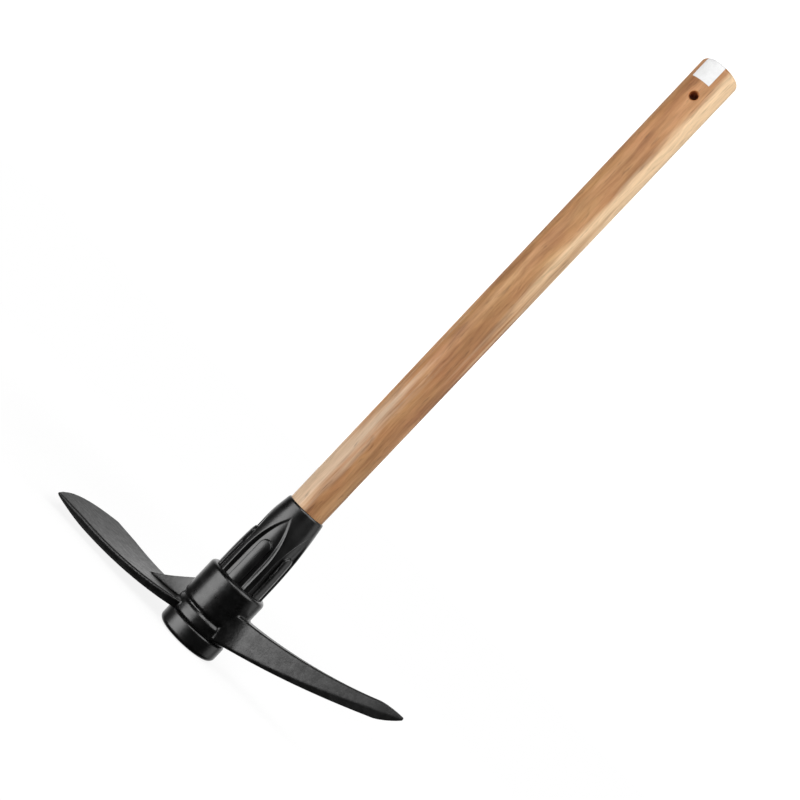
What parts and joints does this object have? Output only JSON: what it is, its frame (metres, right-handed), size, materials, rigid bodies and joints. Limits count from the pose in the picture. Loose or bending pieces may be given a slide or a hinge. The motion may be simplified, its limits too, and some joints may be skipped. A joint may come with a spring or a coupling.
{
  "type": "pick axe",
  "caption": "Short-handled pick axe with a forged pick and adze head, a fluted plastic bush and a round wooden handle.",
  "frame": {"origin": "centre of the bush's flat end, on the handle's axis", "axes": "+Z along the handle from the head to the grip, +X from the handle to the pick's point, -X to the adze's cutting edge, +Y across the blade"},
  "size_m": [0.353, 0.104, 0.65],
  "materials": {
    "head_paint": "semi-gloss black paint over forged steel",
    "bush_plastic": "glossy black moulding",
    "handle_wood": "sanded light hardwood with long streaks, clear satin lacquer",
    "wedge_wood": "raw hardwood",
    "wedge_steel": "plain rolled steel",
    "label_paper": "plain white sticker, blank"
  },
  "bodies": {
    "root": {"pick_head": "head_paint", "fluted_bush": "bush_plastic", "handle": "handle_wood", "hardwood_wedge": "wedge_wood", "steel_wedges": "wedge_steel"}
  },
  "joints": []
}
